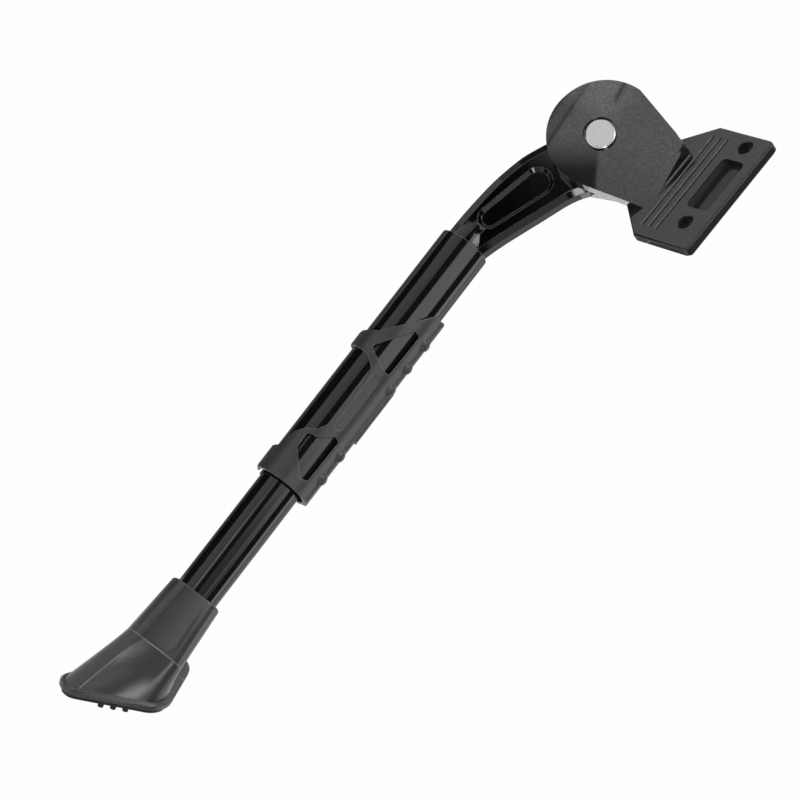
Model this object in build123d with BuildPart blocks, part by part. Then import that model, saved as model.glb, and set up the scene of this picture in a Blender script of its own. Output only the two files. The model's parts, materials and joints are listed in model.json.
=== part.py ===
from build123d import *
import os
from math import cos, radians, sin

os.makedirs("parts", exist_ok=True)

# Frame: X runs back along the stowed leg, Y points to the cycle frame, Z is up.
# The origin is the middle of the two bolt holes, on the back face of the plate.

# Mounting plate
bolt_spacing = 40.0
bolt_hole_d = 6.4
hole_rim = 0.4
plate_t = 5.4
plate_fore = 26.3
plate_aft = 32.3
plate_rise = 11.4
plate_low = -35.0
chamfer_z = -19.7
chamfer_fore = -15.5
chamfer_aft = 19.9
plate_corner_r = 2.6
plate_edge_r = 0.8
plate_back_bevel = 1.7
recess_l = 25.8
recess_w = 12.6
recess_deep = 3.2
recess_r = 2.6
recess_slope = 14.0
groove_z = (-19.4, -15.3, -11.2)
groove_from = -21.6
groove_to = 27.1
groove_w = 1.5
groove_deep = 0.8
groove_slope = 30.0

# Pivot: where the middle of the housing's front face is, and how its axis is tipped
pivot_aft = 4.5
pivot_out = 26.4
pivot_drop = 49.9
pivot_rise = 35.0
pivot_toe = 10.0
swing_deg = 90.0

# Housing: its thicknesses run along the pivot axis, from the front face
housing_r = 22.0
cheek_front_t = 7.6
cheek_rear_t = 5.2
slot_w = 12.4
body_inset = 2.4
wall_z = -23.0
wall_foot_r = 0.9
flank_aft = 12.0
flank_fore = 72.7
shoulder_from = -105.0
shoulder_mid = -162.6
shoulder_mid_out = 1.3
shoulder_at = 173.3
shoulder_out = 2.06
face_edge = 0.35
corner_front = 7.5
corner_back = 1.2
stop_stowed = 22.0
stop_down = -147.0
stop_fan = 60.0
counterbore_r = 7.2
counterbore_deep = 1.7

# Rivet, washers and bush
rivet_r = 5.0
rivet_play = 0.02
rivet_head_r = 6.15
rivet_head_proud = 0.35
rivet_edge = 0.45
rivet_washer_r = 9.0
rivet_washer_t = 1.2
rivet_peen_r = 6.8
rivet_peen_t = 2.0
rivet_peen_slope = 30.0
bush_r = 10.0
bush_play = 0.05
thrust_t = 0.45
thrust_r = 16.0

# Neck of the leg
eye_r = 17.2
eye_room = 0.6
neck_play = 0.05
neck_chamfer = 2.3
neck_bevel = 3.6
neck_seam = 1.1
neck_end_up = 8.4
neck_end_low = 9.0
pocket_wide = (28.6, -11.9, 6.3)
pocket_slim = (51.6, -19.9, 4.7)
pocket_deep = 1.7
pocket_slope = 42.0
detent_angle = -19.0
notch_play = 0.15
notch_deep = 1.75
plunger_r = 2.5
plunger_play = 0.05
plunger_l = 9.0
plunger_gap = 0.05
plunger_tip_r = 0.9
plunger_nose = 1.6
spring_r = 1.85
spring_wire = 0.7
spring_pitch = 3.53
spring_l = 10.6

# Leg: where the outer tube starts, in the housing's plane, and how the leg lies
tube_top_along = 66.4
tube_top_across = -22.6
leg_toe_in = 3.07
leg_dip = 0.69
clip_roll = 39.3
outer_r = 10.75
outer_l = 120.0
spigot_l = 26.0
cone_l = 15.0
cone_inset = 0.4
press_play = 0.01

# Inner tube and its keyway
inner_r = 9.0
inner_bore_r = 7.0
inner_play = 0.07
inner_lap = 47.5
inner_shown = 58.8
retract = 45.6
extend = 22.8
keyway_r = 1.75
keyway_spare = 0.3

# Length clip: places along it are counted from its upper end
clip_play = 0.02
clip_r = 12.3
clip_l = 92.0
clip_past = 3.5
spine_r = 13.0
spine_half = 4.2
pad_r = 13.85
pad_from = 35.2
pad_to = 60.0
pad_half = 2.6
peg_r = 1.5
peg_play = 0.12
peg_tip = 7.5
peg_turn = -25.0
bump_ball_r = 3.3
bump_proud = 1.3
bump_turn = 20.0
bump_at = (12.2, 24.0, 35.2, 69.0, 80.8)
peg_at = (69.0, 80.8)
clip_slit = 5.0
window_r = 1.1
inlay_turn = 20.3
inlay_mid = 49.0
inlay_l = 27.0
inlay_w = 3.8
inlay_deep = 0.5

# Foot: lengths run from its upper end
socket_w = 22.3
socket_d = 22.8
socket_corner = 6.5
socket_rim = 0.6
crease_l = 27.2
crease_w = 26.2
crease_d = 25.4
crease_corner = 6.5
foot_bore_l = 26.9
foot_bore_gap = 0.2
foot_l = 47.7
flange_arcs = [(-13.2, -11.9, 6.7), (2.6, 11.7, 11.5), (-6.6, 34.0, 10.4)]
flare_arcs = [(-12.7, -11.6, 5.5), (2.0, 11.2, 10.2), (-4.6, 31.5, 5.6), (-9.6, 30.5, 6.2)]
flange_t = 2.4
flange_edge = 0.8
sole_t = 2.5
sole_inset = 1.6
stud_r = 1.2
stud_h = 2.0
stud_pitch = 5.0
tread_turn = 47.6
stud_rows = [(-3.6, 11.0), (4.5, 0.0), (12.5, 11.0), (20.5, 23.0)]
stud_counts = [3, 7, 5, 4]


def turned(v, axis, angle):
    c = cos(radians(angle))
    s = sin(radians(angle))
    return v * c + axis.cross(v) * s + axis * (axis.dot(v) * (1 - c))


def polar(r, angle):
    return (r * cos(radians(angle)), r * sin(radians(angle)))


# Shared planes
pivot_at = Vector(pivot_aft, -pivot_out, -pivot_drop)
pivot_axis = Vector(
    sin(radians(pivot_toe)),
    -cos(radians(pivot_toe)) * cos(radians(pivot_rise)),
    cos(radians(pivot_toe)) * sin(radians(pivot_rise)),
)
leg_dir = Vector(
    cos(radians(leg_dip)) * cos(radians(leg_toe_in)),
    cos(radians(leg_dip)) * sin(radians(leg_toe_in)),
    -sin(radians(leg_dip)),
)
along = (leg_dir - pivot_axis * pivot_axis.dot(leg_dir)).normalized()
housing = Plane(origin=pivot_at, x_dir=along, z_dir=pivot_axis)
rivet_bore_r = rivet_r + rivet_play
eye_bore_r = bush_r + bush_play
slot_r = eye_r + eye_room
detent_bore_r = plunger_r + plunger_play
detent_bore_to = bush_r + plunger_l + spring_l + 1.5 * spring_wire
notch_r = plunger_r + notch_play
clip_bore_r = outer_r + clip_play
outer_bore_r = inner_r + inner_play
clip_to = outer_l + clip_past
clip_from = clip_to - clip_l
inner_from = outer_l - inner_lap
foot_from = outer_l + inner_shown
inner_to = foot_from + foot_bore_l - foot_bore_gap
neck_t = slot_w - 2 * thrust_t - 2 * neck_play
neck_end = tube_top_along - neck_seam
slot_front = -cheek_front_t
slot_rear = -cheek_front_t - slot_w
rear_face = slot_rear - cheek_rear_t
neck_front = slot_front - thrust_t - neck_play
neck_mid = neck_front - neck_t / 2
tube_top = housing.from_local_coords(Vector(tube_top_along, tube_top_across, neck_mid))
roll = Vector(0, cos(radians(clip_roll)), sin(radians(clip_roll)))
clip_side = (roll - leg_dir * leg_dir.dot(roll)).normalized()
leg = Plane(origin=tube_top, x_dir=clip_side, z_dir=leg_dir)
clip_top = tube_top + leg_dir * clip_from
peg_out = turned(clip_side, leg_dir, peg_turn)
bump_out = turned(clip_side, leg_dir, bump_turn)
inlay_out = turned(clip_side, leg_dir, 90 - inlay_turn)
clip_face = Plane(origin=clip_top, x_dir=clip_side, z_dir=clip_side.cross(leg_dir))
sole_mid = tube_top + leg_dir * (foot_from + foot_l)
sole_up = turned(Vector(0, 0, 1), pivot_axis, swing_deg)
sole_fore = turned(Vector(1, 0, 0), pivot_axis, swing_deg)
sole = Plane(origin=sole_mid, x_dir=sole_fore, z_dir=sole_up)
detent_dir = housing.x_dir * polar(1, detent_angle)[0] + housing.y_dir * polar(1, detent_angle)[1]
detent_from = pivot_at + pivot_axis * neck_mid
detent = Plane(origin=detent_from, x_dir=pivot_axis, z_dir=detent_dir)

# The housing's fore flank runs from a shoulder to the wall above it, which meets the plate in a corner
shoulder = Vector(*polar(housing_r + shoulder_out, shoulder_at))
flank = Vector(*polar(1, flank_fore))
flank_dir = housing.x_dir * flank.X + housing.y_dir * flank.Y
shoulder_on = housing.from_local_coords(shoulder)
corner_at = shoulder_on + flank_dir * ((wall_z - shoulder_on.Z) / flank_dir.Z)
corner_dir = flank_dir * (pivot_axis.Z / flank_dir.Z) - pivot_axis
corner_end = corner_at + corner_dir * ((-plate_t - corner_at.Y) / corner_dir.Y)
wall_dir = pivot_axis.cross(Vector(0, 0, -1)).normalized()
wall_end = corner_at + wall_dir * ((-plate_t - wall_foot_r - corner_at.Y) / wall_dir.Y)
flank_l = 2 * housing_r
trim = 2 * flank_l
on_base = (Align.CENTER, Align.CENTER, Align.MIN)


def flanks(inset):
    r = housing_r - inset
    aft = Vector(*polar(r, flank_aft))
    fore = shoulder + Vector(inset, 0)
    aft_end = aft + Vector(*polar(flank_l, flank_aft + 90))
    fore_end = fore + flank * flank_l
    CenterArc((0, 0), r, flank_aft, shoulder_from - flank_aft)
    ThreePointArc(polar(r, shoulder_from), polar(r + shoulder_mid_out, shoulder_mid), fore)
    Polyline(fore, fore_end, aft_end, aft)


def corner_round(corner, first, second, reach):
    Polyline(corner - first * reach, corner, corner + second * reach)
    TangentArc(corner - first * reach, corner + second * reach, tangent=first)


# Mounting bracket: plate and housing in one casting
with BuildPart() as bracket:
    with BuildSketch(Plane.XZ):
        with BuildLine():
            Polyline(
                (-plate_fore, plate_rise),
                (plate_aft, plate_rise),
                (plate_aft, chamfer_z),
                (chamfer_aft, plate_low),
                (chamfer_fore, plate_low),
                (-plate_fore, chamfer_z),
                close=True,
            )
        plate_face = make_face()
        fillet(plate_face.vertices().group_by(Axis.Y)[-1], plate_corner_r)
    extrude(amount=plate_t)
    fillet(bracket.faces().sort_by(Axis.Y)[0].edges(), plate_edge_r)
    chamfer(bracket.faces().sort_by(Axis.Y)[-1].edges(), plate_back_bevel)
    with BuildSketch(housing.offset(slot_front)):
        with BuildLine():
            flanks(0)
        make_face()
    extrude(amount=cheek_front_t - face_edge)
    with BuildSketch(housing.offset(-face_edge)):
        with BuildLine():
            flanks(0)
        make_face()
    extrude(amount=face_edge, taper=45)
    with BuildSketch(housing.offset(slot_front)):
        with BuildLine():
            flanks(body_inset)
        make_face()
    extrude(amount=-slot_w - cheek_rear_t)
    with Locations((0, -plate_t - trim / 2, wall_z + trim / 2)):
        Box(2 * trim, trim, trim, mode=Mode.SUBTRACT)
    with Locations((0, trim / 2, 0)):
        Box(2 * trim, trim, 4 * trim, mode=Mode.SUBTRACT)
    with BuildSketch(housing.offset(slot_front)):
        Circle(housing_r - body_inset)
    extrude(amount=-slot_w - cheek_rear_t)
    with BuildSketch(housing):
        with BuildLine():
            on_face = housing.to_local_coords(corner_at)
            along_wall = Vector(wall_dir.dot(housing.x_dir), wall_dir.dot(housing.y_dir))
            corner_round(on_face, flank, along_wall, corner_front)
        make_face()
    with BuildSketch(Plane.XZ.offset(plate_t)):
        with BuildLine():
            up_flank = flank_dir - pivot_axis * (flank_dir.Y / pivot_axis.Y)
            on_plate = Vector(corner_end.X, corner_end.Z)
            corner_round(on_plate, Vector(up_flank.X, up_flank.Z).normalized(), Vector(1, 0), corner_back)
        make_face()
    loft(mode=Mode.SUBTRACT)
    with BuildSketch(Plane.YZ.offset(corner_end.X + corner_back)):
        with BuildLine():
            Polyline((-plate_t - wall_foot_r, wall_z), (-plate_t, wall_z), (-plate_t, wall_z + wall_foot_r))
            CenterArc((-plate_t - wall_foot_r, wall_z + wall_foot_r), wall_foot_r, 270, 90)
        make_face()
    extrude(amount=wall_end.X - corner_end.X - corner_back)
    with BuildSketch(housing.offset(slot_front)):
        Circle(slot_r)
        with BuildLine():
            Polyline(
                (0, 0),
                polar(trim, stop_stowed),
                polar(trim, stop_stowed - stop_fan),
                polar(trim, (stop_stowed + stop_down) / 2),
                polar(trim, stop_down + stop_fan),
                polar(trim, stop_down),
                close=True,
            )
        make_face()
    extrude(amount=-slot_w, mode=Mode.SUBTRACT)
    with BuildSketch(housing):
        Circle(rivet_bore_r)
    extrude(amount=rear_face, mode=Mode.SUBTRACT)
    with BuildSketch(housing):
        Circle(counterbore_r)
    extrude(amount=-counterbore_deep, mode=Mode.SUBTRACT)
    with BuildSketch(Plane.XZ):
        with Locations((-bolt_spacing / 2, 0), (bolt_spacing / 2, 0)):
            Circle(bolt_hole_d / 2)
    extrude(amount=plate_t, mode=Mode.SUBTRACT)
    with BuildSketch(Plane.XZ.offset(plate_t)):
        with Locations((-bolt_spacing / 2, 0), (bolt_spacing / 2, 0)):
            Circle(bolt_hole_d / 2 + hole_rim)
    extrude(amount=-hole_rim, taper=45, mode=Mode.SUBTRACT)
    with BuildSketch(Plane.XZ.offset(plate_t)):
        RectangleRounded(recess_l, recess_w, recess_r)
    extrude(amount=-recess_deep, taper=recess_slope, mode=Mode.SUBTRACT)
    with BuildSketch(Plane.XZ.offset(plate_t)):
        for z in groove_z:
            with Locations(((groove_from + groove_to) / 2, z)):
                SlotOverall(groove_to - groove_from, groove_w)
    extrude(amount=-groove_deep, taper=groove_slope, mode=Mode.SUBTRACT)

# Pivot rivet, with a flat head in front and a peened head behind
with BuildPart() as rivet:
    with BuildSketch(housing.offset(rivet_head_proud)):
        Circle(rivet_head_r)
    extrude(amount=-counterbore_deep - rivet_head_proud)
    chamfer(rivet.faces().sort_by(Axis(pivot_at, pivot_axis))[-1].edges(), rivet_edge)
    with BuildSketch(housing.offset(-counterbore_deep)):
        Circle(rivet_r)
    extrude(amount=rear_face - rivet_washer_t + counterbore_deep)
    with BuildSketch(housing.offset(rear_face - rivet_washer_t)):
        Circle(rivet_peen_r)
    extrude(amount=-rivet_peen_t, taper=rivet_peen_slope)

with BuildPart() as rivet_washer:
    with BuildSketch(housing.offset(rear_face)):
        Circle(rivet_washer_r)
        Circle(rivet_bore_r, mode=Mode.SUBTRACT)
    extrude(amount=-rivet_washer_t)

# Spacer bush between the cheeks, with the two detent notches
with BuildPart() as bush:
    with BuildSketch(housing.offset(slot_front)):
        Circle(bush_r)
        Circle(rivet_bore_r, mode=Mode.SUBTRACT)
    extrude(amount=-slot_w)
    for angle in (detent_angle, detent_angle - swing_deg):
        with BuildSketch(housing.offset(neck_mid)):
            with Locations(polar(bush_r + notch_r - notch_deep, angle)):
                Circle(notch_r)
        extrude(amount=notch_r + notch_play, both=True, mode=Mode.SUBTRACT)

with BuildPart() as thrust_front:
    with BuildSketch(housing.offset(slot_front)):
        Circle(thrust_r)
        Circle(eye_bore_r, mode=Mode.SUBTRACT)
    extrude(amount=-thrust_t)

with BuildPart() as thrust_rear:
    with BuildSketch(housing.offset(slot_rear)):
        Circle(thrust_r)
        Circle(eye_bore_r, mode=Mode.SUBTRACT)
    extrude(amount=thrust_t)

# Neck: eye, bevelled arm, cone and spigot
upper_points = [(13.3, -19.3), (17.0, -21.2), (22.3, -23.7), (29.2, -25.9), (36.5, -27.7),
                (45.8, -29.2), (55.4, -30.3), (neck_end, tube_top_across - neck_end_up)]
lower_points = [(neck_end, tube_top_across + neck_end_low), (56.0, -10.2), (47.0, -6.3), (35.3, -1.2),
                (26.4, 2.9), (20.2, 7.5)]
with BuildPart() as neck:
    with BuildSketch(housing.offset(neck_front)):
        with BuildLine():
            Polyline((5, -4), polar(eye_r - 1, -55.4), upper_points[0])
            Spline(*upper_points)
            Line(upper_points[-1], lower_points[0])
            Spline(*lower_points)
            Polyline(lower_points[-1], polar(eye_r - 1, 20.4), (5, -4))
        make_face()
    extrude(amount=-neck_t)
    front_edges = neck.faces().sort_by(Axis(pivot_at, pivot_axis))[-1].edges().filter_by(GeomType.BSPLINE)
    chamfer(front_edges.sort_by(Axis(pivot_at, housing.y_dir))[0], neck_bevel)
    front_edges = neck.faces().sort_by(Axis(pivot_at, pivot_axis))[-1].edges().filter_by(GeomType.BSPLINE)
    chamfer(front_edges.sort_by(Axis(pivot_at, housing.y_dir))[-1], neck_chamfer)
    rear_edges = neck.faces().sort_by(Axis(pivot_at, pivot_axis))[0].edges().filter_by(GeomType.BSPLINE)
    chamfer(rear_edges, neck_chamfer)
    with BuildSketch(housing.offset(neck_front)):
        Circle(eye_r)
    extrude(amount=-neck_t)
    with Locations(leg.offset(-cone_l)):
        Cone(neck_t / 2 - cone_inset, outer_bore_r - press_play, cone_l, align=on_base)
    with Locations(leg):
        Cylinder(outer_bore_r - press_play, spigot_l, align=on_base)
    with BuildSketch(housing.offset(neck_front)):
        Circle(eye_bore_r)
    extrude(amount=-neck_t, mode=Mode.SUBTRACT)
    with BuildSketch(housing.offset(neck_front)):
        with BuildLine():
            CenterArc(pocket_wide[:2], pocket_wide[2], 0, 360)
            CenterArc(pocket_slim[:2], pocket_slim[2], 0, 360)
        make_hull()
    extrude(amount=-pocket_deep, taper=pocket_slope, mode=Mode.SUBTRACT)
    with Locations(detent):
        Cylinder(detent_bore_r, detent_bore_to, align=on_base, mode=Mode.SUBTRACT)

# Detent plunger and its spring, in the neck's bore
with BuildPart() as plunger:
    with BuildSketch(Plane(origin=detent_from, x_dir=pivot_axis, z_dir=pivot_axis.cross(detent_dir))):
        with BuildLine():
            Polyline(
                (0, bush_r + plunger_gap),
                (plunger_tip_r, bush_r + plunger_gap),
                (plunger_r, bush_r + plunger_nose),
                (plunger_r, bush_r + plunger_l),
                (0, bush_r + plunger_l),
                close=True,
            )
        make_face()
    revolve(axis=Axis(detent_from, detent_dir))

with BuildPart() as spring:
    coil_at = detent_from + detent_dir * (bush_r + plunger_l + spring_wire / 2)
    with BuildLine():
        coil = Helix(spring_pitch, spring_l, spring_r, center=coil_at, direction=detent_dir)
    with BuildSketch(Plane(origin=coil @ 0, z_dir=coil % 0)):
        Rectangle(spring_wire, spring_wire)
    sweep(path=coil)

# Outer tube, with two holes for the clip's pegs
with BuildPart() as outer_tube:
    with BuildSketch(leg):
        Circle(outer_r)
        Circle(outer_bore_r, mode=Mode.SUBTRACT)
    extrude(amount=outer_l)
    for z in peg_at:
        with Locations(Plane(origin=clip_top + leg_dir * z, x_dir=leg_dir, z_dir=peg_out)):
            Cylinder(peg_r + peg_play, 2 * outer_r, align=on_base, mode=Mode.SUBTRACT)

# Inner tube, with a long keyway that the pegs run in
with BuildPart() as inner_tube:
    with BuildSketch(leg.offset(inner_from)):
        Circle(inner_r)
        Circle(inner_bore_r, mode=Mode.SUBTRACT)
    extrude(amount=inner_to - inner_from)
    key_from = peg_at[0] - extend - keyway_spare
    key_to = peg_at[-1] + retract + keyway_spare
    key_mid = clip_top + leg_dir * ((key_from + key_to) / 2)
    with BuildSketch(Plane(origin=key_mid, x_dir=leg_dir, z_dir=peg_out)):
        SlotCenterToCenter(key_to - key_from, 2 * keyway_r)
    extrude(amount=2 * inner_r, mode=Mode.SUBTRACT)

# Length clip: sleeve cut to two straps and a panel, with spine, pad, bumps and pegs
clip_edge = [
    (20, 0), (8.2, 0.6), (3.8, 7.1), (-2.2, 14.8), (-6.6, 20.0), (-11.7, 22.2), (-12.4, 23.2),
    (-20, 23.2), (-20, 28.6), (-12.4, 28.6), (-11.3, 29.5), (-7.5, 30.0), (-3.7, 31.4), (-0.8, 33.4),
    (0.7, 35.8), (1.2, 39.0), (0.6, 62.6), (-2.1, 67.1), (-6.4, 69.7), (-8.8, 72.8), (-10.3, 80.4),
    (-12.4, 81.2), (-20, 81.2), (-20, clip_l - 1.3), (-12.4, clip_l - 1.3), (-11.2, clip_l), (20, clip_l),
]
window_upper = [(-4.9, 26.4), (5.4, 11.2), (7.9, 11.8), (7.4, 32.3), (3.9, 31.6), (-3.1, 28.2)]
window_lower = [(-4.1, 70.4), (0.4, 69.6), (6.2, 64.8), (7.9, 66.2), (7.4, 85.8), (4.4, 86.9), (-4.0, 77.8)]
inlay_at = clip_top + leg_dir * inlay_mid + inlay_out * (clip_r - inlay_deep)
with BuildPart() as clip:
    with BuildSketch(leg.offset(clip_from)):
        Circle(clip_r)
    extrude(amount=clip_l)
    with BuildSketch(clip_face) as clip_outline:
        with BuildLine():
            Polyline(*clip_edge, close=True)
        make_face()
        for window in (window_upper, window_lower):
            with BuildLine():
                Polyline(*window, close=True)
            make_face(mode=Mode.SUBTRACT)
        fillet(clip_outline.face().inner_wires().vertices(), window_r)
    extrude(amount=clip_r, both=True, mode=Mode.INTERSECT)
    with BuildSketch(leg.offset(clip_from)):
        Circle(spine_r)
        Rectangle(spine_r, 2 * spine_half, align=(Align.MIN, Align.CENTER), mode=Mode.INTERSECT)
    extrude(amount=clip_l)
    with BuildSketch(leg.offset(clip_from + pad_from)):
        Circle(pad_r)
        Rectangle(pad_r, 2 * pad_half, align=(Align.MIN, Align.CENTER), mode=Mode.INTERSECT)
    extrude(amount=pad_to - pad_from)
    for z in bump_at:
        with Locations(clip_top + leg_dir * z + bump_out * (spine_r + bump_proud - bump_ball_r)):
            Sphere(bump_ball_r)
    with Locations(leg.offset(clip_from)):
        Cylinder(clip_bore_r, clip_l, align=on_base, mode=Mode.SUBTRACT)
        with Locations((-outer_r, -clip_slit, 0)):
            Box(outer_r, clip_slit, clip_l, align=on_base, mode=Mode.SUBTRACT)
    with BuildSketch(Plane(origin=inlay_at, x_dir=leg_dir, z_dir=inlay_out)):
        SlotOverall(inlay_l, inlay_w)
    extrude(amount=2 * inlay_deep, mode=Mode.SUBTRACT)
    for z in peg_at:
        with BuildSketch(Plane(origin=clip_top + leg_dir * z + peg_out * peg_tip, x_dir=leg_dir,
                               z_dir=peg_out)):
            Circle(peg_r)
        extrude(amount=clip_r - peg_tip)


def sole_hull(arcs, inset):
    for x, y, r in arcs:
        CenterArc((x, y), r - inset, 0, 360)


# Foot: socket, flare and flange in one moulding
with BuildPart() as foot:
    with BuildSketch(sole):
        with BuildLine():
            sole_hull(flange_arcs, 0)
        make_hull()
    extrude(amount=-flange_t)
    chamfer(foot.faces().sort_by(Axis(sole_mid, sole_up))[-1].edges(), flange_edge)
    with BuildSketch(leg.offset(foot_from)):
        RectangleRounded(socket_w, socket_d, socket_corner)
    with BuildSketch(leg.offset(foot_from + crease_l)):
        RectangleRounded(crease_w, crease_d, crease_corner)
    loft()
    with BuildSketch(leg.offset(foot_from + crease_l)):
        RectangleRounded(crease_w, crease_d, crease_corner)
    with BuildSketch(sole):
        with BuildLine():
            sole_hull(flare_arcs, 0)
        make_hull()
    loft()
    chamfer(foot.faces().sort_by(Axis(tube_top, leg_dir))[0].edges(), socket_rim)
    with Locations(leg.offset(foot_from)):
        Cylinder(inner_r + press_play, foot_bore_l, align=on_base, mode=Mode.SUBTRACT)

with BuildPart() as foot_sole:
    with BuildSketch(sole.offset(-flange_t)):
        with BuildLine():
            sole_hull(flange_arcs, sole_inset)
        make_hull()
    extrude(amount=-sole_t)
    toe = Vector(*flange_arcs[0][:2])
    row_dir = Vector(*polar(1, tread_turn))
    row_step = Vector(*polar(1, tread_turn + 90))
    with BuildSketch(sole.offset(-flange_t - sole_t)):
        for (inward, first), count in zip(stud_rows, stud_counts):
            for i in range(count):
                with Locations(toe + row_step * inward + row_dir * (first + i * stud_pitch)):
                    Circle(stud_r)
    extrude(amount=-stud_h)

bracket.part.label = "mount_bracket"
export_step(bracket.part, "parts/mount_bracket.step")
rivet.part.label = "pivot_rivet"
export_step(rivet.part, "parts/pivot_rivet.step")
rivet_washer.part.label = "rivet_washer"
export_step(rivet_washer.part, "parts/rivet_washer.step")
bush.part.label = "pivot_bush"
export_step(bush.part, "parts/pivot_bush.step")
thrust_front.part.label = "thrust_washer_front"
export_step(thrust_front.part, "parts/thrust_washer_front.step")
thrust_rear.part.label = "thrust_washer_rear"
export_step(thrust_rear.part, "parts/thrust_washer_rear.step")
neck.part.label = "leg_neck"
export_step(neck.part, "parts/leg_neck.step")
plunger.part.label = "detent_plunger"
export_step(plunger.part, "parts/detent_plunger.step")
spring.part.label = "detent_spring"
export_step(spring.part, "parts/detent_spring.step")
outer_tube.part.label = "outer_tube"
export_step(outer_tube.part, "parts/outer_tube.step")
inner_tube.part.label = "inner_tube"
export_step(inner_tube.part, "parts/inner_tube.step")
clip.part.label = "length_clip"
export_step(clip.part, "parts/length_clip.step")
foot.part.label = "foot_shoe"
export_step(foot.part, "parts/foot_shoe.step")
foot_sole.part.label = "foot_sole"
export_step(foot_sole.part, "parts/foot_sole.step")
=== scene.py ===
import json
from math import radians

import bpy
from mathutils import Matrix, Vector

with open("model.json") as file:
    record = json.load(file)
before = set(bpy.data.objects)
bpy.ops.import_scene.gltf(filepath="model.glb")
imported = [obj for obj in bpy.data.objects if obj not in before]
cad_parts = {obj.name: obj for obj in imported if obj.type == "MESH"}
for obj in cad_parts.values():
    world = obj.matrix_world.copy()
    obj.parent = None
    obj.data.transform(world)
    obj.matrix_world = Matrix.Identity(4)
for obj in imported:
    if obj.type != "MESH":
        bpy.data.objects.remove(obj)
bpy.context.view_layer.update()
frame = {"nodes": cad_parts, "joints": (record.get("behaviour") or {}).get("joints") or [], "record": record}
nodes = frame["nodes"]
joints = {joint["name"]: joint for joint in frame["joints"]}
mounts = {mount["name"]: mount for mount in frame["record"]["mounts"]}
slots = {part["node"]: part["material_slot"] for part in frame["record"]["subparts"]}

MM = 0.001

# Camera of the product picture: where it stands, the way back from what it looks at, the way its top points
camera_at = Vector((0.47217, -0.80265, 0.92404))
camera_back = Vector((0.255976, -0.606048, 0.753115))
camera_top = Vector((-0.746070, -0.619256, -0.244748))
camera_lens = 148.72
camera_sensor = 36.0
camera_reach = 20.0

# Floor: below the foot when the leg hangs down at its full length, and how much of it shows as white paper
floor_z = -0.335
floor_half = 6.0
floor_colour = (0.86, 0.86, 0.86, 1.0)
floor_lift = 0.93

# Shading of the pieces: the gap that is welded between facets, the angle past which an edge stays sharp,
# and the pieces whose large faces stay flat up to their rounded edges
weld_gap = 0.004 * MM
smooth_angle = radians(32)
flat_faced = ("mount_bracket", "leg_neck", "pivot_rivet")

# Grain of paint, plastic and metal: how much finer its fine part is and that part's share, roughness of the
# coarse part, detail of each noise, and the noise levels between which drift and flecks run from 0 to 1
fine_ratio = 2.7
fine_share = 0.35
coarse_roughness = 0.55
coarse_detail = 2.0
fine_detail = 1.0
drift_detail = 3.0
drift_levels = (0.3, 0.7)
fleck_levels = (0.35, 0.68)

# Flecks in a finish: how much they show and how much lighter they are than its light tone
fleck_share = 0.3
fleck_gain = 1.35

# Painted highlights along edges: samples of the rounding, cosines of its turn off the face from no edge to a
# full one, and how much of the edge's pale tone shows between and on the flecks
edge_samples = 6
edge_cosines = (0.995, 0.86)
edge_highlight_amount = (0.35, 0.8)

# Clear coat: grain heights between which it thickens, and its share in the hollows
coat_heights = (0.40, 0.60)
coat_hollow_share = 0.66

# Places on the bracket in mm with painted shade and painted highlights, all matt: lowest and highest corner,
# amount and grey tone
bolt_x = mounts["frame_bolts"]["dims"]["spacing_x_mm"] / 2
bolt_half = 3.4
slope_lows = (-20.3, -16.2, -12.1)
slope_high = 0.5
# Painted shade: the recess, matt and in a flat tone without the coat's shine, reads dark like a shaded
# hollow
recess = ((-13.0, -4.6, -6.4), (13.0, -1.2, 6.4), 0.45, 0.02)
# Painted highlight: a paler band along the recess's low wall, where its fillet would catch the light
recess_low_wall_highlight = ((-12.6, -4.9, -6.6), (12.6, -2.5, -5.3), 0.8, 0.05)
# Painted shade: near-black floors in the grooves
grooves = ((-22.0, -4.75, -20.6), (27.5, -4.0, -10.0), 0.95, 0.004)
# Painted shade: dark insides of the bolt holes
bolt_hole_shade = [
    ((x - bolt_half, -4.9, -bolt_half), (x + bolt_half, -1.2, bolt_half), 0.9, 0.008)
    for x in (-bolt_x, bolt_x)
]
# Painted shade: the wall beside the housing and its corner, near black
wall = ((-8.0, -14.0, -23.05), (6.0, -6.4, -22.4), 0.95, 0.003)
wall_corner_shade = ((-13.0, -12.0, -24.2), (-7.0, -6.3, -22.6), 0.8, 0.003)
# Painted highlight: a pale line along the fillet at the foot of that wall
wall_foot_highlight = ((-9.5, -6.05, -23.2), (6.5, -5.7, -22.5), 0.6, 0.4)
# Painted highlights: pale flecked bands on the lit slopes of the grooves
groove_slope_highlights = [((-21.5, -5.3, low), (27.0, -5.0, low + slope_high), 0.6, 0.3) for low in slope_lows]
painted_light_and_shade_places = (recess, recess_low_wall_highlight, grooves, *bolt_hole_shade, wall, wall_corner_shade, wall_foot_highlight, *groove_slope_highlights)

# Blur of those places in mm, roughness of their matt paint, the tone past which a place's painted highlight
# is broken into flecks, and how much of that tone shows between and on the flecks
place_blur = 0.25
matt_rough = 0.7
highlight_from = 0.1
highlight_flecks = (0.3, 1.0)

# The foot in mm: the way across its front face, with the leg's axis on it and the radius of the dome; the
# way along the leg, with the crease between socket and flare on it; half width and tone of the pale line
# painted there
foot_across = (0.0339, -0.7735, -0.6329)
foot_mid = 67.9
foot_crown_r = 100
leg_way = joints["leg_length"]["axis"]
foot_crease = 273.87
foot_line_half = 0.3
foot_line_tone = 0.16

# Places of the colour sockets on a Mix node
mix_first = 6
mix_second = 7
mix_result = 2


# Node helpers

def add(tree, kind, **settings):
    node = tree.nodes.new(kind)
    for key, value in settings.items():
        setattr(node, key, value)
    return node


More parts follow.
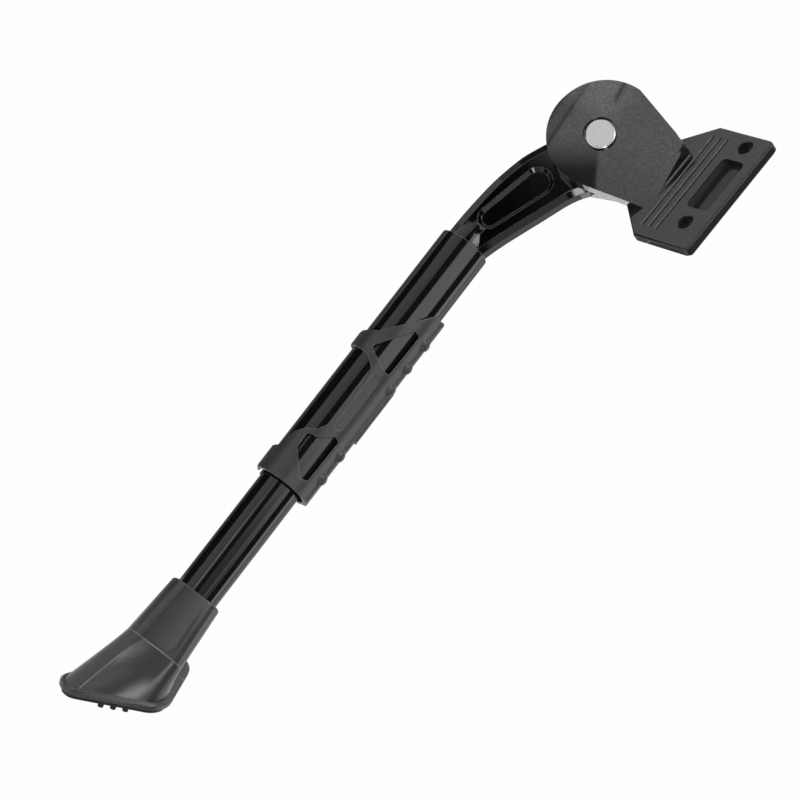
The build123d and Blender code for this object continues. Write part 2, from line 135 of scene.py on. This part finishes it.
def feed(tree, place, value):
    if isinstance(value, bpy.types.NodeSocket):
        tree.links.new(value, place)
    else:
        place.default_value = value


def source(place):
    """The socket that feeds the given one."""
    return place.links[0].from_socket


def bare_tree(owner):
    """The emptied node tree of a material or world."""
    owner.use_nodes = True
    owner.node_tree.nodes.clear()
    return owner.node_tree


def end_in(tree, shader, kind="Material"):
    out = add(tree, "ShaderNodeOutput" + kind)
    feed(tree, out.inputs["Surface"], shader)


def socket(group, name, kind, way, value=None):
    made = group.interface.new_socket(name=name, in_out=way, socket_type="NodeSocket" + kind)
    if value is not None:
        made.default_value = value


def group_ends(group):
    return add(group, "NodeGroupInput").outputs, add(group, "NodeGroupOutput").inputs


def place_group(tree, group, **values):
    node = add(tree, "ShaderNodeGroup", node_tree=group)
    for name, value in values.items():
        feed(tree, node.inputs[name.replace("_", " ")], value)
    return node


def math(tree, operation, first, second):
    node = add(tree, "ShaderNodeMath", operation=operation)
    feed(tree, node.inputs[0], first)
    feed(tree, node.inputs[1], second)
    return node.outputs[0]


def dot(tree, first, second):
    node = add(tree, "ShaderNodeVectorMath", operation="DOT_PRODUCT")
    feed(tree, node.inputs[0], first)
    feed(tree, node.inputs[1], second)
    return node.outputs["Value"]


def ramp(tree, value, low, high, to_low=0.0, to_high=1.0):
    node = add(tree, "ShaderNodeMapRange", interpolation_type="SMOOTHSTEP")
    feed(tree, node.inputs["Value"], value)
    for name, number in (("From Min", low), ("From Max", high), ("To Min", to_low), ("To Max", to_high)):
        feed(tree, node.inputs[name], number)
    return node.outputs["Result"]


def noise(tree, at, fineness, size, detail):
    node = add(tree, "ShaderNodeTexNoise", noise_dimensions="3D")
    feed(tree, node.inputs["Vector"], at)
    feed(tree, node.inputs["Scale"], math(tree, "DIVIDE", fineness, size))
    node.inputs["Detail"].default_value = detail
    return node


def place_on_piece(tree):
    return add(tree, "ShaderNodeTexCoord").outputs["Object"]


def colour_mix(tree, factor, first, second):
    node = add(tree, "ShaderNodeMix", data_type="RGBA")
    feed(tree, node.inputs[0], factor)
    feed(tree, node.inputs[mix_first], first)
    feed(tree, node.inputs[mix_second], second)
    return node.outputs[mix_result]


def grey(level):
    return (level, level, level, 1.0)


# Shader groups of the finishes

def make_grain_group():
    """Grain of a sprayed or moulded surface: a height for bump, a slow drift over the piece, and flecks."""
    group = bpy.data.node_groups.new("surface grain", "ShaderNodeTree")
    for name in ("Grain size", "Drift size"):
        socket(group, name, "Float", "INPUT")
    for name in ("Height", "Drift", "Speckle"):
        socket(group, name, "Float", "OUTPUT")
    inputs, outputs = group_ends(group)
    at = place_on_piece(group)
    coarse = noise(group, at, 1.0, inputs["Grain size"], coarse_detail)
    coarse.inputs["Roughness"].default_value = coarse_roughness
    fine = noise(group, at, fine_ratio, inputs["Grain size"], fine_detail)
    drift = noise(group, at, 1.0, inputs["Drift size"], drift_detail)
    mixed = add(group, "ShaderNodeMix", data_type="FLOAT")
    feed(group, mixed.inputs["Factor"], fine_share)
    feed(group, mixed.inputs["A"], coarse.outputs["Fac"])
    feed(group, mixed.inputs["B"], fine.outputs["Fac"])
    feed(group, outputs["Height"], mixed.outputs["Result"])
    feed(group, outputs["Drift"], ramp(group, drift.outputs["Fac"], *drift_levels))
    feed(group, outputs["Speckle"], ramp(group, fine.outputs["Fac"], *fleck_levels))
    return group


def make_edge_group():
    """A normal rounded over the edges, and where it leaves the face: 1 along edges, 0 on the faces."""
    group = bpy.data.node_groups.new("edge line", "ShaderNodeTree")
    socket(group, "Width", "Float", "INPUT")
    socket(group, "Edge", "Float", "OUTPUT")
    socket(group, "Rounded", "Vector", "OUTPUT")
    inputs, outputs = group_ends(group)
    rounded = add(group, "ShaderNodeBevel", samples=edge_samples)
    feed(group, rounded.inputs["Radius"], inputs["Width"])
    face_normal = add(group, "ShaderNodeNewGeometry").outputs["Normal"]
    facing = dot(group, rounded.outputs["Normal"], face_normal)
    feed(group, outputs["Edge"], ramp(group, facing, *edge_cosines))
    feed(group, outputs["Rounded"], rounded.outputs["Normal"])
    return group


grain_group = make_grain_group()
edge_group = make_edge_group()


# Finishes

def grained_finish(name, dark, light, rough, grain_mm, drift_mm, bump_mm, edge_highlight, edge_mm=0.45,
                   specular=0.5, metallic=0.0, coat=0.0, coat_rough=0.0):
    """A paint, plastic or metal with a fine grain, a slow drift of tone, and a painted highlight along its
    edges.
    """
    finish = bpy.data.materials.new(name)
    tree = bare_tree(finish)
    shader = add(tree, "ShaderNodeBsdfPrincipled")
    end_in(tree, shader.outputs["BSDF"])
    grain = place_group(tree, grain_group, Grain_size=grain_mm * MM, Drift_size=drift_mm * MM)
    edge = place_group(tree, edge_group, Width=edge_mm * MM)
    flecks = grain.outputs["Speckle"]
    body = colour_mix(tree, grain.outputs["Drift"], grey(dark), grey(light))
    flecked = colour_mix(tree, math(tree, "MULTIPLY", flecks, fleck_share), body, grey(light * fleck_gain))
    # Painted highlight: edges coloured towards their pale tone, flecked, as if light caught their rounding
    edge_glint = math(tree, "MULTIPLY", edge.outputs["Edge"], ramp(tree, flecks, 0, 1, *edge_highlight_amount))
    feed(tree, shader.inputs["Base Color"], colour_mix(tree, edge_glint, flecked, grey(edge_highlight)))
    feed(tree, shader.inputs["Roughness"], ramp(tree, grain.outputs["Drift"], 0, 1, *rough))
    shader.inputs["Specular IOR Level"].default_value = specular
    shader.inputs["Metallic"].default_value = metallic
    if coat:
        shine = ramp(tree, grain.outputs["Height"], *coat_heights, coat * coat_hollow_share, coat)
        feed(tree, shader.inputs["Coat Weight"], shine)
        shader.inputs["Coat Roughness"].default_value = coat_rough
    bump = add(tree, "ShaderNodeBump")
    bump.inputs["Distance"].default_value = bump_mm * MM
    feed(tree, bump.inputs["Height"], grain.outputs["Height"])
    feed(tree, bump.inputs["Normal"], edge.outputs["Rounded"])
    feed(tree, shader.inputs["Normal"], bump.outputs["Normal"])
    return finish


def paint_light_and_shade(finish, places):
    """Paint shade and highlights in the given places: own tone, no shine, pale highlights broken into
    flecks.
    """
    tree = finish.node_tree
    shader = tree.nodes["Principled BSDF"]
    split = add(tree, "ShaderNodeSeparateXYZ")
    feed(tree, split.inputs[0], place_on_piece(tree))
    grain = next(node for node in tree.nodes if node.type == "GROUP" and node.node_tree == grain_group)
    flecks = ramp(tree, grain.outputs["Speckle"], 0, 1, *highlight_flecks)
    paint = source(shader.inputs["Base Color"])
    dull = 0.0
    for lowest, highest, amount, tone in places:
        # Tones past the threshold are pale painted highlights and are broken into flecks; the rest are laid
        # on whole
        inside = math(tree, "MULTIPLY", flecks, amount) if tone > highlight_from else amount
        for at, low, high in zip(split.outputs, lowest, highest):
            above = ramp(tree, at, (low - place_blur) * MM, (low + place_blur) * MM)
            below = ramp(tree, at, (high + place_blur) * MM, (high - place_blur) * MM)
            inside = math(tree, "MULTIPLY", math(tree, "MULTIPLY", above, below), inside)
        dull = math(tree, "MAXIMUM", inside, dull)
        paint = colour_mix(tree, inside, paint, grey(tone))
    glossy = math(tree, "SUBTRACT", 1.0, dull)
    shine = math(tree, "MULTIPLY", source(shader.inputs["Coat Weight"]), glossy)
    matt = math(tree, "MULTIPLY", dull, matt_rough)
    rough = math(tree, "MAXIMUM", source(shader.inputs["Roughness"]), matt)
    feed(tree, shader.inputs["Base Color"], paint)
    feed(tree, shader.inputs["Coat Weight"], shine)
    feed(tree, shader.inputs["Roughness"], rough)


def crown_faces(finish, across, mid_mm, radius_mm):
    """Shade flat moulded faces as if they were slightly domed across the leg."""
    tree = finish.node_tree
    grain_bump = tree.nodes["Bump"]
    off = math(tree, "SUBTRACT", dot(tree, place_on_piece(tree), across), mid_mm * MM)
    dome = math(tree, "DIVIDE", math(tree, "MULTIPLY", off, off), -2 * radius_mm * MM)
    crown = add(tree, "ShaderNodeBump")
    crown.inputs["Distance"].default_value = 1.0
    feed(tree, crown.inputs["Height"], dome)
    feed(tree, crown.inputs["Normal"], source(grain_bump.inputs["Normal"]))
    feed(tree, grain_bump.inputs["Normal"], crown.outputs["Normal"])


def line_across(finish, way, place_mm, half_mm, tone):
    """Draw a thin pale line round a piece, square to the given way."""
    tree = finish.node_tree
    shader = tree.nodes["Principled BSDF"]
    along = math(tree, "SUBTRACT", dot(tree, place_on_piece(tree), way), place_mm * MM)
    line = ramp(tree, math(tree, "ABSOLUTE", along, 0.0), half_mm * MM, 0.0)
    body = source(shader.inputs["Base Color"])
    feed(tree, shader.inputs["Base Color"], colour_mix(tree, line, body, grey(tone)))


finishes = {
    "bracket_paint": grained_finish(
        "satin bracket paint", dark=0.0075, light=0.0105, rough=(0.42, 0.5), grain_mm=0.9, drift_mm=22,
        bump_mm=0.03, edge_highlight=0.12, specular=0.12, coat=1.0, coat_rough=0.015),
    "neck_paint": grained_finish(
        "gloss neck paint", dark=0.0012, light=0.002, rough=(0.04, 0.06), grain_mm=2.5, drift_mm=30,
        bump_mm=0.002, edge_highlight=0.2),
    "tube_paint": grained_finish(
        "gloss tube paint", dark=0.0035, light=0.0045, rough=(0.08, 0.11), grain_mm=2.5, drift_mm=30,
        bump_mm=0.001, edge_highlight=0.3),
    "rivet_steel": grained_finish(
        "brushed rivet steel", dark=0.66, light=0.72, rough=(0.28, 0.32), grain_mm=0.35, drift_mm=4,
        bump_mm=0.0, edge_highlight=0.8, metallic=1.0),
    "inner_steel": grained_finish(
        "plain inner steel", dark=0.4, light=0.5, rough=(0.3, 0.42), grain_mm=0.5, drift_mm=6,
        bump_mm=0.01, edge_highlight=0.6, metallic=1.0),
    "washer_plastic": grained_finish(
        "pale washer plastic", dark=0.5, light=0.6, rough=(0.45, 0.55), grain_mm=0.5, drift_mm=6,
        bump_mm=0.01, edge_highlight=0.65),
    "clip_plastic": grained_finish(
        "moulded clip plastic", dark=0.028, light=0.036, rough=(0.34, 0.40), grain_mm=0.5, drift_mm=24,
        bump_mm=0.04, edge_highlight=0.3),
    "foot_plastic": grained_finish(
        "moulded foot plastic", dark=0.032, light=0.040, rough=(0.22, 0.26), grain_mm=0.7, drift_mm=24,
        bump_mm=0.04, edge_highlight=0.14, edge_mm=0.9),
    "sole_rubber": grained_finish(
        "sole rubber", dark=0.004, light=0.007, rough=(0.6, 0.75), grain_mm=0.6, drift_mm=8,
        bump_mm=0.05, edge_highlight=0.01),
}
paint_light_and_shade(finishes["bracket_paint"], painted_light_and_shade_places)
crown_faces(finishes["foot_plastic"], foot_across, foot_mid, foot_crown_r)
line_across(finishes["foot_plastic"], leg_way, foot_crease, foot_line_half, foot_line_tone)


# Geometry Nodes: weld a piece's facets and shade it smooth up to its edges

def make_smooth_group():
    group = bpy.data.node_groups.new("smooth to the edges", "GeometryNodeTree")
    socket(group, "Geometry", "Geometry", "INPUT")
    socket(group, "Weld gap", "Float", "INPUT", weld_gap)
    socket(group, "Edge angle", "Float", "INPUT", smooth_angle)
    socket(group, "Geometry", "Geometry", "OUTPUT")
    inputs, outputs = group_ends(group)
    weld = add(group, "GeometryNodeMergeByDistance")
    feed(group, weld.inputs["Geometry"], inputs["Geometry"])
    feed(group, weld.inputs["Distance"], inputs["Weld gap"])
    faces = add(group, "GeometryNodeSetShadeSmooth", domain="FACE")
    feed(group, faces.inputs["Geometry"], weld.outputs["Geometry"])
    angle = add(group, "GeometryNodeInputMeshEdgeAngle")
    soft = add(group, "FunctionNodeCompare", data_type="FLOAT", operation="LESS_EQUAL")
    feed(group, soft.inputs[0], angle.outputs["Unsigned Angle"])
    feed(group, soft.inputs[1], inputs["Edge angle"])
    edges = add(group, "GeometryNodeSetShadeSmooth", domain="EDGE")
    feed(group, edges.inputs["Geometry"], faces.outputs["Geometry"])
    feed(group, edges.inputs["Shade Smooth"], soft.outputs["Result"])
    feed(group, outputs["Geometry"], edges.outputs["Geometry"])
    return group


smooth_group = make_smooth_group()
for name, piece in nodes.items():
    piece.data.materials.clear()
    piece.data.materials.append(finishes[slots[name]])
    smooth = piece.modifiers.new("smooth to the edges", "NODES")
    smooth.node_group = smooth_group
for name in flat_faced:
    flat = nodes[name].modifiers.new("flat faces stay flat", "WEIGHTED_NORMAL")
    flat.mode = "FACE_AREA"
    flat.keep_sharp = True


# Studio light: panels in the world

x_way = Vector((1, 0, 0))
y_way = Vector((0, 1, 0))
z_way = Vector((0, 0, 1))
ahead = -y_way
behind = y_way
overhead = z_way
fore = -x_way
aft = x_way

# Each panel's name, the way it lies from the object, its tilt in degrees, its left, right, low and high edge
# as slopes off that way, the blur of its edges across and up, and its strength, below zero for a flag
panels = (
    ("overhead box", overhead, 0, (-0.335, -0.155, -0.85, 0.29), (0.02, 0.02), 2.7),
    ("overhead box, fore part", overhead, 0, (-1.3, -0.37, -0.85, 0.29), (0.01, 0.02), 2.7),
    ("overhead spill", overhead, 0, (-0.155, 0.36, -0.85, 0.29), (0.02, 0.02), 0.3),
    ("overhead tube", overhead, 0, (-0.155, 0.36, -0.08, 0.0), (0.012, 0.012), 2.0),
    ("aft lamp", overhead, 0, (0.36, 0.60, -0.88, -0.60), (0.05, 0.05), 14.0),
    ("aft lamp, low part", overhead, 0, (0.40, 0.62, -0.34, -0.12), (0.05, 0.05), 3.0),
    ("neck lamp", overhead, 0, (0.12, 0.30, 0.38, 0.54), (0.03, 0.03), 1.2),
    ("neck lamp, edge part", overhead, 0, (0.34, 0.52, 0.28, 0.43), (0.03, 0.03), 0.8),
    ("fore lamp", overhead, 0, (-1.0, -0.60, -0.40, 0.22), (0.03, 0.03), 4.0),
    ("aft lamp, rear", overhead, 0, (0.66, 0.94, 0.22, 0.56), (0.05, 0.05), 11.0),
    ("front box", ahead, 0, (-1.5, -0.061, -0.385, 0.404), (0.012, 0.012), 1.0),
    ("front card", ahead, 0, (-0.12, -0.006, 0.3440, 0.52), (0.004, 0.0004), 2.7),
    ("front card, head", ahead, 0, (-0.12, -0.030, 0.335, 0.357), (0.006, 0.006), 1.6),
    ("front card, low part", ahead, 0, (-0.12, -0.006, 0.340, 0.3432), (0.004, 0.0004), 2.1),
    ("front card, lowest part", ahead, 0, (-0.12, -0.006, 0.325, 0.340), (0.004, 0.0004), 0.9),
    ("front flag", ahead, 29.6, (0.1625, 0.30, 0.27, 0.3224), (0.009, 0.0006), -3.2),
    ("front flag, low shade", ahead, 0, (-0.022, 0.02, 0.362, 0.41), (0.010, 0.008), -0.7),
    ("front flag, bar", ahead, 5.2, (-0.0125, -0.0035, 0.3556, 0.3570), (0.002, 0.0005), -3.2),
    ("toe card", ahead, 0, (0.17, 0.38, 0.2, 0.58), (0.04, 0.04), 2.2),
    ("rear box", behind, 0, (-0.7, 0.3, 0.2, 0.42), (0.03, 0.03), 1.2),
    ("rear box, upper part", behind, 0, (-0.7, 0.1, 0.45, 0.9), (0.03, 0.03), 2.8),
    ("fore fill", fore, 0, (-0.8, 0.8, -0.1, 1.0), (0.2, 0.2), 0.8),
    ("aft fill", aft, 0, (-0.8, 0.8, -0.1, 1.0), (0.2, 0.2), 0.6),
)
ambient = 0.06
world_grey = 0.8
least_depth = 0.001

# The pale paper sweep that rises behind the floor on all sides: the heights of a unit direction between
# which it comes in, and its level
sweep_fade = (0.22, 0.16)
sweep_level = 1.17


def make_softbox_group():
    """Light of a panel in the world: full inside its four edges, which are slopes off the panel's axis."""
    group = bpy.data.node_groups.new("soft box", "ShaderNodeTree")
    for name in ("Direction", "Middle", "Right", "Top"):
        socket(group, name, "Vector", "INPUT")
    for name in ("Left edge", "Right edge", "Low edge", "High edge", "Blur across", "Blur up", "Strength"):
        socket(group, name, "Float", "INPUT")
    socket(group, "Light", "Float", "OUTPUT")
    inputs, outputs = group_ends(group)
    toward = dot(group, inputs["Direction"], inputs["Middle"])
    depth = math(group, "MAXIMUM", toward, least_depth)
    light = math(group, "MULTIPLY", inputs["Strength"], math(group, "GREATER_THAN", toward, 0.0))
    across = ("Right", "Left edge", "Right edge", "Blur across")
    upward = ("Top", "Low edge", "High edge", "Blur up")
    for side, low, high, blur in (across, upward):
        slope = math(group, "DIVIDE", dot(group, inputs["Direction"], inputs[side]), depth)
        outside = math(group, "MULTIPLY", inputs[blur], -1)
        for edge, sign in ((low, 1), (high, -1)):
            inside = math(group, "MULTIPLY", math(group, "SUBTRACT", slope, inputs[edge]), sign)
            light = math(group, "MULTIPLY", light, ramp(group, inside, outside, inputs[blur]))
    feed(group, outputs["Light"], light)
    return group


def make_world():
    """The panels added up over a little light from everywhere, with the sweep in front of them."""
    world = bpy.data.worlds.new("studio")
    tree = bare_tree(world)
    softbox_group = make_softbox_group()
    direction = add(tree, "ShaderNodeTexCoord").outputs["Generated"]
    total = ambient
    for name, way, tilt, (left, right, low, high), (blur_across, blur_up), strength in panels:
        turn = Matrix.Rotation(radians(-tilt), 3, y_way)
        level = y_way if way.x else x_way
        upright = y_way if way.z else z_way
        box = place_group(tree, softbox_group, Direction=direction, Middle=way,
                          Right=turn @ level, Top=turn @ upright,
                          Left_edge=left, Right_edge=right, Low_edge=low, High_edge=high,
                          Blur_across=blur_across, Blur_up=blur_up, Strength=strength)
        box.label = name
        total = math(tree, "ADD", box.outputs["Light"], total)
    split = add(tree, "ShaderNodeSeparateXYZ")
    feed(tree, split.inputs[0], direction)
    sweep = ramp(tree, split.outputs["Z"], *sweep_fade, 0.0, sweep_level)
    background = add(tree, "ShaderNodeBackground")
    background.inputs["Color"].default_value = grey(world_grey)
    feed(tree, background.inputs["Strength"], math(tree, "MAXIMUM", total, sweep))
    end_in(tree, background.outputs["Background"], "World")
    bpy.context.scene.world = world


# Floor and cards

# Cards on the floor, seen only in the object's gloss, each lying on those before it: two corners, level
cards = (
    ("black_card_ahead", (-0.05, -0.62), (0.222, -0.10), 0.015),
    ("grey_card_below", (-0.30, -0.10), (0.21, 0.27), 0.2),
    ("grey_card_aft", (0.11, 0.27), (0.50, 0.42), 0.1),
    ("grey_card_behind", (-1.50, 0.36), (0.04, 3.0), 0.35),
    ("grey_card_fore", (-0.055, -0.17), (0.06, -0.098), 0.5),
    ("dim_card_fore", (-0.085, -0.17), (-0.055, -0.098), 0.25),
    ("black_card_fore", (-0.20, -0.17), (-0.085, -0.098), 0.06),
    ("white_card_aft", (0.03, 0.275), (0.105, 0.335), 1.7),
)
card_lift = 0.001


def lay_sheet(name, near, far, z):
    """A level sheet between two corners."""
    mesh = bpy.data.meshes.new(name)
    corners = ((near[0], near[1], z), (far[0], near[1], z), (far[0], far[1], z), (near[0], far[1], z))
    mesh.from_pydata(corners, [], [(0, 1, 2, 3)])
    sheet = bpy.data.objects.new(name, mesh)
    bpy.context.scene.collection.objects.link(sheet)
    return sheet


def make_card(name, near, far, level, lift):
    card = lay_sheet(name, near, far, floor_z + lift)
    felt = bpy.data.materials.new(name)
    tree = bare_tree(felt)
    glow = add(tree, "ShaderNodeEmission")
    glow.inputs["Color"].default_value = grey(level)
    end_in(tree, glow.outputs["Emission"])
    card.data.materials.append(felt)
    card.visible_camera = False
    card.visible_diffuse = False
    card.visible_transmission = False
    card.visible_shadow = False


def make_floor():
    """A pale floor that the camera sees as white paper, with the object's soft shadow on it."""
    floor = lay_sheet("floor", (-floor_half, -floor_half), (floor_half, floor_half), floor_z)
    paper = bpy.data.materials.new("floor paper")
    tree = bare_tree(paper)
    matt = add(tree, "ShaderNodeBsdfDiffuse")
    matt.inputs["Color"].default_value = floor_colour
    glow = add(tree, "ShaderNodeEmission")
    rays = add(tree, "ShaderNodeLightPath").outputs
    seen = math(tree, "MAXIMUM", rays["Is Camera Ray"], rays["Is Glossy Ray"])
    seen = math(tree, "MAXIMUM", seen, rays["Is Transmission Ray"])
    mixed = add(tree, "ShaderNodeMixShader")
    feed(tree, mixed.inputs[0], math(tree, "MULTIPLY", seen, floor_lift))
    feed(tree, mixed.inputs[1], matt.outputs["BSDF"])
    feed(tree, mixed.inputs[2], glow.outputs["Emission"])
    end_in(tree, mixed.outputs["Shader"])
    floor.data.materials.append(paper)


# Camera

def make_camera():
    back = camera_back.normalized()
    right = camera_top.cross(back).normalized()
    top = back.cross(right)
    lens = bpy.data.cameras.new("product camera")
    lens.lens = camera_lens
    lens.sensor_width = camera_sensor
    lens.clip_end = camera_reach
    camera = bpy.data.objects.new("product camera", lens)
    turn = Matrix((right, top, back)).transposed().to_4x4()
    camera.matrix_world = Matrix.Translation(camera_at) @ turn
    bpy.context.scene.collection.objects.link(camera)
    bpy.context.scene.camera = camera


make_world()
for layer, (name, near, far, level) in enumerate(cards, 1):
    make_card(name, near, far, level, layer * card_lift)
make_floor()
make_camera()
bpy.context.scene.view_settings.view_transform = "Standard"
